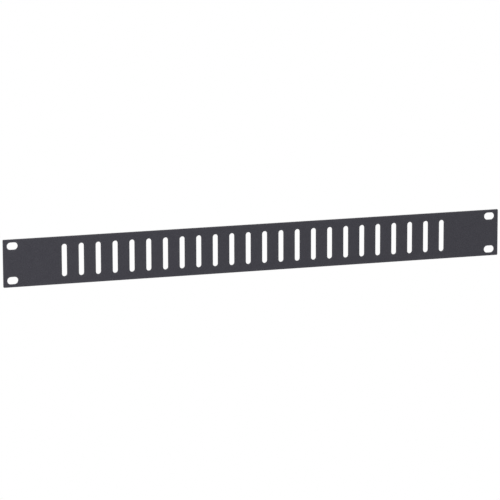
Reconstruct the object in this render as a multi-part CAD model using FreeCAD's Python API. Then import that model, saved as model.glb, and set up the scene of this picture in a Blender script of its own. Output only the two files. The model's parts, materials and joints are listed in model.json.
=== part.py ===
"""Vented blanking panel for a 19 inch equipment rack, one rack unit high.

The panel is one flat blank of sheet steel, black powder coated. A press punches it from
the front: a rack screw slot near each corner and one bank of upright vent slots across
the middle. Shearing and punching draw the front edges in a little, and the coat rounds
them further, while the back edges stay square.

Frame: X runs along the panel, to the right as seen from the front. Y runs from the front
to the back, and Z is up. The origin is the centre of the four screw slots on the back
face, which is the face that lies against the rack's rails. All lengths are millimetres.
"""

import FreeCAD
import Part

import os

# ---- The rack that it fits ----------------------------------------------------------
RACK_UNIT_HEIGHT = 44.45  # height of one rack unit
UNIT_EDGE_TO_HOLE = 6.35  # from either edge of a unit to its nearest rail hole
RAIL_SPACING = 465.1  # between the left and right rail's columns of holes

# ---- The blank ----------------------------------------------------------------------
UNIT_GAP = 0.45  # what the panel leaves of its unit, so that neighbours don't rub
HOLE_TO_END = 8.75  # from a rail's column of holes to the end of the panel's ear
SHEET_THICKNESS = 1.5
CORNER_RADIUS = 0.8  # at the blank's four corners, seen from the front
OUTLINE_ROUND = 0.3  # radius of the front edge all round the blank

# ---- Rack screw slots ---------------------------------------------------------------
SCREW_SLOT_LENGTH = 10.3  # end to end, along X
SCREW_SLOT_WIDTH = 6.8  # takes an M6 rack screw

# ---- Vent slots ---------------------------------------------------------------------
VENT_WIDTH = 5.0
VENT_PITCH = 16.0  # centre to centre, along X
VENT_STRIP = 7.0  # solid strip above and below the vents
PLAIN_END = 45.0  # solid at least this far from a column of screw slots inwards

# ---- Both kinds of slot -------------------------------------------------------------
RIM_BEVEL = 0.25  # the drawn-in front rim, a bevel where the blank's outline is round

PANEL_WIDTH = RAIL_SPACING + 2 * HOLE_TO_END  # 482.6, the 19 inches
PANEL_HEIGHT = RACK_UNIT_HEIGHT - UNIT_GAP
RAIL_HOLE_SPACING = RACK_UNIT_HEIGHT - 2 * UNIT_EDGE_TO_HOLE  # bottom to top hole of a unit
VENT_LENGTH = PANEL_HEIGHT - 2 * VENT_STRIP
VENT_ROOM = RAIL_SPACING - 2 * PLAIN_END  # what the bank of vents may fill
VENT_COUNT = 1 + int((VENT_ROOM - VENT_WIDTH) / VENT_PITCH)
ALONG_X = FreeCAD.Vector(1, 0, 0)
ALONG_Z = FreeCAD.Vector(0, 0, 1)
TO_THE_FRONT = FreeCAD.Vector(0, -1, 0)


def front_face(plate):
    """The flat front of a plate: of the flat faces turned to the front, the largest."""
    flat = [f for f in plate.Faces if isinstance(f.Surface, Part.Plane)]
    return max((f for f in flat if f.normalAt(0, 0).y < -0.5), key=lambda f: f.Area)


def blank():
    """The sheared blank: its back on the XZ plane, its corners and front outline rounded."""
    low_corner = FreeCAD.Vector(-PANEL_WIDTH / 2, -SHEET_THICKNESS, -PANEL_HEIGHT / 2)
    plate = Part.makeBox(PANEL_WIDTH, SHEET_THICKNESS, PANEL_HEIGHT, low_corner)
    through_edges = [e for e in plate.Edges if abs(e.tangentAt(e.FirstParameter).y) > 0.5]
    plate = plate.makeFillet(CORNER_RADIUS, through_edges)
    return plate.makeFillet(OUTLINE_ROUND, front_face(plate).OuterWire.Edges)


def slot_wire(centre, along, length, width):
    """A slot with round ends on the back plane: two straight sides and two half circles."""
    across = along.cross(TO_THE_FRONT)
    radius = width / 2
    reach = along * (length / 2 - radius)
    side = across * radius
    tip = along * radius
    near, far = centre - reach, centre + reach
    return Part.Wire(
        [
            Part.LineSegment(near + side, far + side).toShape(),
            Part.Arc(far + side, far + tip, far - side).toShape(),
            Part.LineSegment(far - side, near - side).toShape(),
            Part.Arc(near - side, near - tip, near + side).toShape(),
        ]
    )


def screw_slot_wires():
    """The four slots for the rack screws, one in front of each rail hole."""
    return [
        slot_wire(
            ALONG_X * (side * RAIL_SPACING / 2) + ALONG_Z * (level * RAIL_HOLE_SPACING / 2),
            ALONG_X,
            SCREW_SLOT_LENGTH,
            SCREW_SLOT_WIDTH,
        )
        for side in (-1, 1)
        for level in (-1, 1)
    ]


def vent_slot_wires():
    """The bank of upright vent slots, evenly spaced about the middle of the panel."""
    first = -VENT_PITCH * (VENT_COUNT - 1) / 2
    return [
        slot_wire(ALONG_X * (first + VENT_PITCH * i), ALONG_Z, VENT_LENGTH, VENT_WIDTH)
        for i in range(VENT_COUNT)
    ]


def punched(plate, wires):
    """A plate with every slot punched right through it, its front rim bevelled."""
    slugs = [Part.Face(w).extrude(TO_THE_FRONT * SHEET_THICKNESS) for w in wires]
    plate = plate.cut(Part.makeCompound(slugs))
    front = front_face(plate)
    rims = [w for w in front.Wires if not w.isSame(front.OuterWire)]
    return plate.makeChamfer(RIM_BEVEL, [e for w in rims for e in w.Edges])


def panel():
    """The finished panel, one solid."""
    return punched(blank(), screw_slot_wires() + vent_slot_wires()).Solids[0]


os.makedirs("parts", exist_ok=True)
panel().exportStep("parts/panel.step")
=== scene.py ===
"""Looks of the vented rack blanking panel: its black powder coat and a plain studio round it.

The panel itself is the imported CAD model, which stays as it is. This file gives it its coat, whose
pattern is worked out from the panel's own sizes, and sets up the floor, the lights and the camera.
"""

import json
import math

import bpy
import numpy as np
from bpy.props import FloatProperty, FloatVectorProperty, PointerProperty
from mathutils import Matrix, Vector


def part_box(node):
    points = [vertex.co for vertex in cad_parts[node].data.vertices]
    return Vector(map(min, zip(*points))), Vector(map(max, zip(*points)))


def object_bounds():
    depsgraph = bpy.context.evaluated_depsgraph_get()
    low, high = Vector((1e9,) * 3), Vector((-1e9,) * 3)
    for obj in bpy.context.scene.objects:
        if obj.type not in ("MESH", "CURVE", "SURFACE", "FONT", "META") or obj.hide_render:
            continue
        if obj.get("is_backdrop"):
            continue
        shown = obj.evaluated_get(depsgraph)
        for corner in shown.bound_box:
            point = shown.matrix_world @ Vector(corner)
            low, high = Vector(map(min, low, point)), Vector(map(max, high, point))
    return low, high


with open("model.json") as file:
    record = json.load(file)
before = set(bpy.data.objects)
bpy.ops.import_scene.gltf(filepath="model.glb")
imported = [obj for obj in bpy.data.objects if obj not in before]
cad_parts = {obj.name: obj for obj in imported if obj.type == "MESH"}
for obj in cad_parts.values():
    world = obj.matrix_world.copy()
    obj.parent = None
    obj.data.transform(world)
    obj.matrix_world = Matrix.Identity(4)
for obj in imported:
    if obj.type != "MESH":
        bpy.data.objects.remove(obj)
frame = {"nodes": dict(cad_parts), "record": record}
CAD_LOW, CAD_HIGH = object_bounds()

bl_info = {
    "name": "Vented Blanking Panel",
    "version": (1, 0, 0),
    "blender": (4, 5, 0),
    "location": "3D View > Sidebar > Blanking Panel",
    "description": "Coats the vented rack blanking panel and sets up a studio round it",
    "category": "Object",
}

PANEL_NODE = "panel"
MM = 0.001
TOUCHING = 0.01 * MM  # how near to a face or an edge a vertex counts as on it
NOISE_MIDDLE = 0.5  # of the noise texture, which runs from 0 to 1
WHITE = (1.0, 1.0, 1.0, 1.0)


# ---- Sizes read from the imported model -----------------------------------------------


class PanelSizes:
    """The panel's outline and slots as packed, in metres, for a pattern that follows them."""

    def __init__(self):
        record = frame["record"]
        low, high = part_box(PANEL_NODE)
        self.back_y = high.y
        self.half_width = (high.x - low.x) / 2
        self.half_height = (high.z - low.z) / 2
        slots = next(mount["dims"] for mount in record["mounts"] if mount["name"] == "rack_screws")
        self.screw_x = slots["spacing_x_mm"] * MM / 2
        self.screw_z = slots["spacing_y_mm"] * MM / 2
        self.screw_radius = slots["hole_r_mm"] * MM
        self.screw_reach = slots["slot_length_mm"] * MM / 2 - self.screw_radius
        openings = record["physics"]["openings"]
        boxes = np.array([hole["box_m"] for hole in openings if hole["name"].startswith("vent_")])
        middles = np.sort(boxes[:, :, 0].mean(axis=1))
        self.first_vent_x = float(middles[0])
        self.vent_count = len(middles)
        self.vent_pitch = float(np.diff(middles).mean())
        rim = self.back_rim_near(self.first_vent_x)
        self.vent_radius = float(np.ptp(rim[:, 0])) / 2
        self.vent_reach = float(np.ptp(rim[:, 2])) / 2 - self.vent_radius

    def back_rim_near(self, middle):
        """The vertices on the back face that lie on the rim of the vent at that X."""
        mesh = frame["nodes"][PANEL_NODE].data
        points = np.empty(len(mesh.vertices) * 3, np.float32)
        mesh.vertices.foreach_get("co", points)
        points = points.reshape(-1, 3)
        on_back = points[:, 1] > self.back_y - TOUCHING
        near = np.abs(points[:, 0] - middle) < self.vent_pitch / 2
        off_outline = np.abs(points[:, 2]) < self.half_height - TOUCHING
        return points[on_back & near & off_outline]


# ---- Node graphs written as expressions ---------------------------------------------


class Value:
    """A number that varies over a surface. Arithmetic on it adds Math nodes to its graph."""

    def __init__(self, graph, socket):
        self.graph = graph
        self.socket = socket

    def math(self, operation, *numbers):
        """The result of one Math node on those numbers, in their order."""
        return self.graph.value("ShaderNodeMath", {"operation": operation}, dict(enumerate(numbers)))

    def __add__(self, other):
        return self.math("ADD", self, other)

    def __sub__(self, other):
        return self.math("SUBTRACT", self, other)

    def __rsub__(self, other):
        return self.math("SUBTRACT", other, self)

    def __mul__(self, other):
        return self.math("MULTIPLY", self, other)

    def __truediv__(self, other):
        return self.math("DIVIDE", self, other)

    def __rtruediv__(self, other):
        return self.math("DIVIDE", other, self)

    def __pow__(self, other):
        return self.math("POWER", self, other)

    def __rpow__(self, other):
        return self.math("POWER", other, self)

    def __abs__(self):
        return self.math("ABSOLUTE", self)

    def __round__(self):
        return self.math("ROUND", self)

    def lowest(self, other):
        return self.math("MINIMUM", self, other)

    def highest(self, other):
        return self.math("MAXIMUM", self, other)

    __radd__ = __add__
    __rmul__ = __mul__


class Graph:
    """The node tree of a material or a world, emptied, with one way to add any node to it."""

    def __init__(self, tree):
        self.tree = tree
        tree.nodes.clear()

    def node(self, kind, settings=None, inputs=None):
        """A new node: its settings are set first, then the values or links of its sockets."""
        node = self.tree.nodes.new(kind)
        for name, setting in (settings or {}).items():
            setattr(node, name, setting)
        for key, given in (inputs or {}).items():
            given = given.socket if isinstance(given, Value) else given
            if isinstance(given, bpy.types.NodeSocket):
                self.tree.links.new(given, node.inputs[key])
            else:
                node.inputs[key].default_value = given
        return node

    def value(self, kind, settings=None, inputs=None):
        """The first output of a new node, as a number to reckon with."""
        return Value(self, self.node(kind, settings, inputs).outputs[0])

    def axes(self, place):
        """X, Y and Z of a place, each as a number to reckon with."""
        parts = self.node("ShaderNodeSeparateXYZ", inputs={"Vector": place}).outputs
        return [Value(self, part) for part in parts]

    def noise(self, place, size, detail, roughness=0.5):
        """Soft noise about 0, at most a half either way, in lumps of about that size in metres."""
        inputs = {"Vector": place, "Scale": 1 / size, "Detail": detail, "Roughness": roughness}
        return self.value("ShaderNodeTexNoise", {"noise_dimensions": "3D"}, inputs) - NOISE_MIDDLE

    def blend(self, share, first, second):
        """The surface of the first node, with the second's in its place by that share."""
        sides = {0: share, 1: first.outputs[0], 2: second.outputs[0]}
        return self.node("ShaderNodeMixShader", inputs=sides)


# ---- Powder coat --------------------------------------------------------------------


class BlankingPanelCoat(bpy.types.PropertyGroup):
    """The black powder coat."""

    colour: FloatVectorProperty(
        name="Colour",
        description="Colour of the powder itself, without its sheen",
        subtype="COLOR",
        default=(0.0187, 0.0180, 0.0264),
        min=0.0,
        max=1.0,
    )
    refraction: FloatProperty(
        name="Refraction",
        description="Refractive index of the cured resin, which sets its sheen",
        default=1.5,
        min=1.0,
    )
    roughness: FloatProperty(
        name="Roughness",
        description="Mean roughness of the coat",
        subtype="FACTOR",
        default=0.75,
        min=0.0,
        max=1.0,
    )
    cloud_size: FloatProperty(
        name="Cloud Size",
        description="Width of the patches over which the colour drifts",
        unit="LENGTH",
        default=35 * MM,
    )
    cloud_shade: FloatProperty(
        name="Cloud Shade",
        description="Share by which the colour drifts from patch to patch",
        subtype="FACTOR",
        default=0.10,
        min=0.0,
        max=1.0,
    )
    blotch_size: FloatProperty(
        name="Blotch Size",
        description="Width of the blotches that are a little duller or shinier",
        unit="LENGTH",
        default=5 * MM,
    )
    blotch_dulling: FloatProperty(
        name="Blotch Dulling",
        description="How much the roughness changes from blotch to blotch",
        default=0.10,
        min=0.0,
        max=1.0,
    )
    peel_size: FloatProperty(
        name="Peel Size",
        description="Width of the orange peel's dimples",
        unit="LENGTH",
        default=2.2 * MM,
    )
    peel_depth: FloatProperty(
        name="Peel Depth",
        description="Height that the orange peel's noise spreads over, of which most uses a third",
        unit="LENGTH",
        default=0.22 * MM,
    )
    grain_size: FloatProperty(
        name="Grain Size",
        description="Width of the powder's grains",
        unit="LENGTH",
        default=0.70 * MM,
    )
    grain_depth: FloatProperty(
        name="Grain Depth",
        description="Height that the grains' noise spreads over, of which most uses a third",
        unit="LENGTH",
        default=0.25 * MM,
    )
    grain_shade: FloatProperty(
        name="Grain Shade",
        description="Share by which the colour changes from grain to grain",
        subtype="FACTOR",
        default=0.05,
        min=0.0,
        max=1.0,
    )
    grain_dulling: FloatProperty(
        name="Grain Dulling",
        description="How much the roughness changes from grain to grain",
        default=0.12,
        min=0.0,
        max=1.0,
    )
    bead_width: FloatProperty(
        name="Bead Width",
        description="Distance from an edge at which half of the built-up coat is left",
        unit="LENGTH",
        default=1.1 * MM,
    )
    bead_height: FloatProperty(
        name="Bead Height",
        description="How much thicker the coat is at an edge",
        unit="LENGTH",
        default=0.020 * MM,
    )
    bead_gloss: FloatProperty(
        name="Bead Gloss",
        description="How much less rough the coat is at an edge",
        default=0.06,
        min=0.0,
        max=1.0,
    )


def slot_distance(along, across, reach, radius):
    """Distance outwards from a slot's rim: from its middle line's nearest point, less its radius.

    along and across are measured from the slot's centre and are both positive.
    """
    past_the_end = (along - reach).highest(0.0)
    return (past_the_end**2 + across**2) ** 0.5 - radius


def edge_distance(graph, place):
    """Distance on the panel's face from the nearest edge of the outline or of a slot, in metres.

    The outline's is the smaller of what is left to its end and to its long edge. Every vent is the
    vent nearest in X: its number, from 0, is the X from the first vent's middle over the pitch,
    rounded and held within the bank. The four screw slots are one slot, because the panel is
    alike on both sides of X and of Z.
    """
    sizes = PanelSizes()
    x, _, z = graph.axes(place)
    outline = (sizes.half_width - abs(x)).lowest(sizes.half_height - abs(z))
    number = round((x - sizes.first_vent_x) / sizes.vent_pitch)
    number = number.highest(0.0).lowest(sizes.vent_count - 1)
    from_vent = abs(x - (sizes.first_vent_x + number * sizes.vent_pitch))
    vent = slot_distance(abs(z), from_vent, sizes.vent_reach, sizes.vent_radius)
    screw = slot_distance(
        abs(abs(x) - sizes.screw_x),
        abs(abs(z) - sizes.screw_z),
        sizes.screw_reach,
        sizes.screw_radius,
    )
    return outline.lowest(vent).lowest(screw).highest(0.0)


def powder_coat(coat):
    """Black powder coat: orange peel, fine grains, and a thin bead of coat along every edge.

    The bead is one half to the power of the square of the distance from the edge over its width.
    Each of the four noises is scaled by its own shades, dullings or depths before it is added.
    """
    material = bpy.data.materials.new("black_powder_coat")
    material.use_nodes = True
    graph = Graph(material.node_tree)
    place = graph.node("ShaderNodeTexCoord").outputs["Object"]
    from_edge = edge_distance(graph, place) / coat.bead_width
    bead = 0.5 ** (from_edge**2)
    clouds = graph.noise(place, coat.cloud_size, detail=2.0)
    blotches = graph.noise(place, coat.blotch_size, detail=1.0)
    peel = graph.noise(place, coat.peel_size, detail=1.0)
    grains = graph.noise(place, coat.grain_size, detail=2.0, roughness=0.6)

    shade = 1.0 + coat.cloud_shade * clouds + coat.grain_shade * grains
    tint = graph.node(
        "ShaderNodeVectorMath",
        {"operation": "SCALE"},
        {"Vector": tuple(coat.colour), "Scale": shade},
    )
    dulling = coat.blotch_dulling * blotches + coat.grain_dulling * grains
    roughness = coat.roughness + dulling - coat.bead_gloss * bead
    height = coat.peel_depth * peel + coat.grain_depth * grains + coat.bead_height * bead
    bump = graph.node("ShaderNodeBump", inputs={"Strength": 1.0, "Distance": 1.0, "Height": height})
    surface = graph.node(
        "ShaderNodeBsdfPrincipled",
        inputs={
            "Base Color": tint.outputs["Vector"],
            "Metallic": 0.0,
            "IOR": coat.refraction,
            "Roughness": roughness,
            "Normal": bump.outputs["Normal"],
        },
    )
    graph.node("ShaderNodeOutputMaterial", inputs={"Surface": surface.outputs["BSDF"]})
    return material


class BLANKING_PANEL_OT_coat(bpy.types.Operator):
    """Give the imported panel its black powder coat"""

    bl_idname = "blanking_panel.coat"
    bl_label = "Coat the Panel"

    def execute(self, context):
        material = powder_coat(context.scene.blanking_panel_coat)
        for slot in frame["nodes"][PANEL_NODE].material_slots:
            slot.material = material
        return {"FINISHED"}


# ---- Studio -------------------------------------------------------------------------


class BlankingPanelStudio(bpy.types.PropertyGroup):
    """The floor, the lights and the camera."""

    floor_colour: FloatVectorProperty(
        name="Floor Colour",
        description="Colour of the studio's floor",
        subtype="COLOR",
        default=(0.80, 0.80, 0.80),
        min=0.0,
        max=1.0,
    )
    floor_drop: FloatProperty(
        name="Floor Drop",
        description="Height at which the panel is held over the floor",
        unit="LENGTH",
        default=0.38,
    )
    floor_side: FloatProperty(
        name="Floor Side",
        description="Side of the square floor",
        unit="LENGTH",
        default=18.0,
    )
    # A lower whiteness paints the floor darker round the point under the panel: a painted pool of
    # shade, besides the panel's real shadow on the lit paint.
    floor_whiteness: FloatProperty(
        name="Floor Whiteness",
        description="Share of plain white in the floor under the panel, as the camera sees it",
        subtype="FACTOR",
        default=0.65,
        min=0.0,
        max=1.0,
    )
    # Within this reach the floor is painted darker towards the point under the panel, a painted pool
    # of shade, as well as showing the panel's real shadow.
    shadow_and_painted_shade_reach: FloatProperty(
        name="Shadow Reach",
        description="How far out the floor takes shadows, before it is plain white",
        unit="LENGTH",
        default=0.5,
    )
    daylight: FloatProperty(
        name="Daylight",
        description="Strength of the even light from all round",
        default=0.12,
        min=0.0,
    )
    key_power: FloatProperty(
        name="Key Power",
        description="Power of the soft light at the front left",
        unit="POWER",
        default=15.0,
    )
    fill_power: FloatProperty(
        name="Fill Power",
        description="Power of the soft light at the front right",
        unit="POWER",
        default=3.4,
    )
    back_power: FloatProperty(
        name="Back Power",
        description="Power of the soft light over and behind the panel",
        unit="POWER",
        default=24.0,
    )
    azimuth: FloatProperty(
        name="Azimuth",
        description="How far the camera stands round to the right of the panel's front",
        subtype="ANGLE",
        default=math.radians(-18.433),
    )
    elevation: FloatProperty(
        name="Elevation",
        description="How far the camera looks down",
        subtype="ANGLE",
        default=math.radians(10.727),
    )
    roll: FloatProperty(
        name="Roll",
        description="How far the camera leans to its left",
        subtype="ANGLE",
        default=math.radians(-0.173),
    )
    distance: FloatProperty(
        name="Distance",
        description="From the camera to the panel's front",
        unit="LENGTH",
        default=2.9716,
    )
    focal_length: FloatProperty(
        name="Focal Length",
        description="Of the lens, in millimetres on a 36 mm sensor",
        unit="CAMERA",
        default=231.25,
    )
    aim: FloatVectorProperty(
        name="Aim",
        description="Where the camera's axis meets the panel's front, along the panel and up",
        size=2,
        unit="LENGTH",
        default=(-6.56 * MM, -1.78 * MM),
    )


def sheet_mesh(name, points):
    """A mesh from a grid of points, a rows by columns by 3 array, with one quad in each cell.

    It faces up where the columns run along X and the rows along Y.
    """
    rows, columns = points.shape[:2]
    number = np.arange(rows * columns).reshape(rows, columns)
    quads = np.stack([number[:-1, 1:], number[1:, 1:], number[1:, :-1], number[:-1, :-1]], axis=-1)
    mesh = bpy.data.meshes.new(name)
    mesh.from_pydata(points.reshape(-1, 3), [], quads.reshape(-1, 4))
    return mesh


def floor_points(side, height):
    """A level square about the origin: X and Y each run over plus and minus half its side."""
    reach = np.array([-side / 2, side / 2])
    x, y = np.meshgrid(reach, reach)
    return np.stack([x, y, np.full_like(x, height)], axis=-1)


def seen_directly(graph):
    """1 on rays from the camera, off gloss or through glass, and 0 on rays that carry light."""
    rays = graph.node("ShaderNodeLightPath").outputs
    camera, gloss, glass = (
        Value(graph, rays[f"Is {kind} Ray"]) for kind in ("Camera", "Glossy", "Transmission")
    )
    return camera.highest(gloss).highest(glass)


def floor_distance(graph):
    """Distance along the floor from the point under the panel's middle, in metres."""
    place = graph.node("ShaderNodeTexCoord").outputs["Object"]
    x, y, _ = graph.axes(place)
    return (x**2 + y**2) ** 0.5


def floor_paint(studio):
    """Matt pale paint. It shows as partly plain white, by a share that grows with the square of
    the distance from the panel, so it takes a soft shadow nearby and has no horizon. Near the panel
    the smaller white share also paints the floor darker: a painted pool of shade round the point
    under the panel."""
    material = bpy.data.materials.new("pale_floor")
    material.use_nodes = True
    graph = Graph(material.node_tree)
    paint = graph.node("ShaderNodeBsdfDiffuse", inputs={"Color": (*studio.floor_colour, 1.0)})
    white = graph.node("ShaderNodeEmission", inputs={"Color": WHITE, "Strength": 1.0})
    outwards = floor_distance(graph) / studio.shadow_and_painted_shade_reach
    # The white share is smallest under the panel, which paints the floor darker there: a painted
    # pool of shade on top of the real shadow.
    plain = (studio.floor_whiteness + (1.0 - studio.floor_whiteness) * outwards**2).lowest(1.0)
    surface = graph.blend(seen_directly(graph) * plain, paint, white)
    graph.node("ShaderNodeOutputMaterial", inputs={"Surface": surface.outputs[0]})
    return material


def build_floor(context, studio):
    """The floor, under the panel by the drop."""
    mesh = sheet_mesh("floor", floor_points(studio.floor_side, CAD_LOW.z - studio.floor_drop))
    mesh.materials.append(floor_paint(studio))
    floor = bpy.data.objects.new("floor", mesh)
    context.scene.collection.objects.link(floor)
    floor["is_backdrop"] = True


def build_world(context, studio):
    """Even daylight from all round, which shows as plain white."""
    world = bpy.data.worlds.new("studio")
    world.use_nodes = True
    context.scene.world = world
    graph = Graph(world.node_tree)
    light = graph.node("ShaderNodeBackground", inputs={"Color": WHITE, "Strength": studio.daylight})
    backdrop = graph.node("ShaderNodeBackground", inputs={"Color": WHITE, "Strength": 1.0})
    surroundings = graph.blend(seen_directly(graph), light, backdrop)
    graph.node("ShaderNodeOutputWorld", inputs={"Surface": surroundings.outputs[0]})


# Each lamp's name, its place and its side in metres, and the setting that holds its power
LAMPS = (
    ("key_light", (-0.85, -0.80, 0.60), 0.6, "key_power"),
    ("fill_light", (0.95, -0.75, 0.10), 0.5, "fill_power"),
    ("back_light", (0.80, 1.50, 1.00), 1.0, "back_power"),
)


def soft_light(context, name, place, side, power):
    """A square soft light at a place in metres, turned to the panel's middle and itself unseen."""
    lamp = bpy.data.lights.new(name, "AREA")
    lamp.shape = "SQUARE"
    lamp.size = side
    lamp.energy = power
    light = bpy.data.objects.new(name, lamp)
    light.location = place
    light.rotation_euler = (-Vector(place)).to_track_quat("-Z", "Y").to_euler()
    light.visible_camera = False
    context.scene.collection.objects.link(light)


def place_camera(context, studio):
    """The camera, at its azimuth and elevation about the point that it aims at."""
    a, e = studio.azimuth, studio.elevation
    back = Vector((math.sin(a) * math.cos(e), -math.cos(a) * math.cos(e), math.sin(e)))
    level = Vector((math.cos(a), math.sin(a), 0.0))
    upright = Matrix((level, back.cross(level), back)).transposed()
    turned = Matrix.Rotation(studio.roll, 3, back) @ upright
    aim = Vector((studio.aim[0], CAD_LOW.y, studio.aim[1]))
    data = bpy.data.cameras.new("camera")
    data.lens = studio.focal_length
    camera = bpy.data.objects.new("camera", data)
    camera.matrix_world = Matrix.Translation(aim + back * studio.distance) @ turned.to_4x4()
    context.scene.collection.objects.link(camera)
    context.scene.camera = camera


class BLANKING_PANEL_OT_studio(bpy.types.Operator):
    """Set up the floor, the lights and the camera"""

    bl_idname = "blanking_panel.studio"
    bl_label = "Set Up the Studio"

    def execute(self, context):
        studio = context.scene.blanking_panel_studio
        build_floor(context, studio)
        build_world(context, studio)
        for name, place, side, power in LAMPS:
            soft_light(context, name, place, side, getattr(studio, power))
        place_camera(context, studio)
        context.scene.view_settings.view_transform = "Standard"
        return {"FINISHED"}


# ---- Sidebar panel and running ------------------------------------------------------


class BLANKING_PANEL_PT_sidebar(bpy.types.Panel):
    """The steps, each with the sizes and colours that it uses"""

    bl_label = "Blanking Panel"
    bl_space_type = "VIEW_3D"
    bl_region_type = "UI"
    bl_category = "Blanking Panel"

    def draw(self, context):
        for step, settings in STEPS:
            box = self.layout.box()
            box.operator(step.bl_idname)
            group = getattr(context.scene, settings)
            for name in group.bl_rna.properties.keys():
                if name not in ("rna_type", "name"):
                    box.prop(group, name)


STEPS = (
    (BLANKING_PANEL_OT_coat, "blanking_panel_coat"),
    (BLANKING_PANEL_OT_studio, "blanking_panel_studio"),
)
CLASSES = (
    BlankingPanelCoat,
    BlankingPanelStudio,
    BLANKING_PANEL_OT_coat,
    BLANKING_PANEL_OT_studio,
    BLANKING_PANEL_PT_sidebar,
)


def register():
    for cls in CLASSES:
        bpy.utils.register_class(cls)
    bpy.types.Scene.blanking_panel_coat = PointerProperty(type=BlankingPanelCoat)
    bpy.types.Scene.blanking_panel_studio = PointerProperty(type=BlankingPanelStudio)


def unregister():
    del bpy.types.Scene.blanking_panel_studio
    del bpy.types.Scene.blanking_panel_coat
    for cls in reversed(CLASSES):
        bpy.utils.unregister_class(cls)


def main():
    """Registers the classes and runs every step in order."""
    register()
    bpy.ops.blanking_panel.coat()
    bpy.ops.blanking_panel.studio()
    low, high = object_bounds()
    boxes = {"cad": [list(CAD_LOW), list(CAD_HIGH)], "visual": [list(low), list(high)]}


if __name__ == "__main__":
    main()
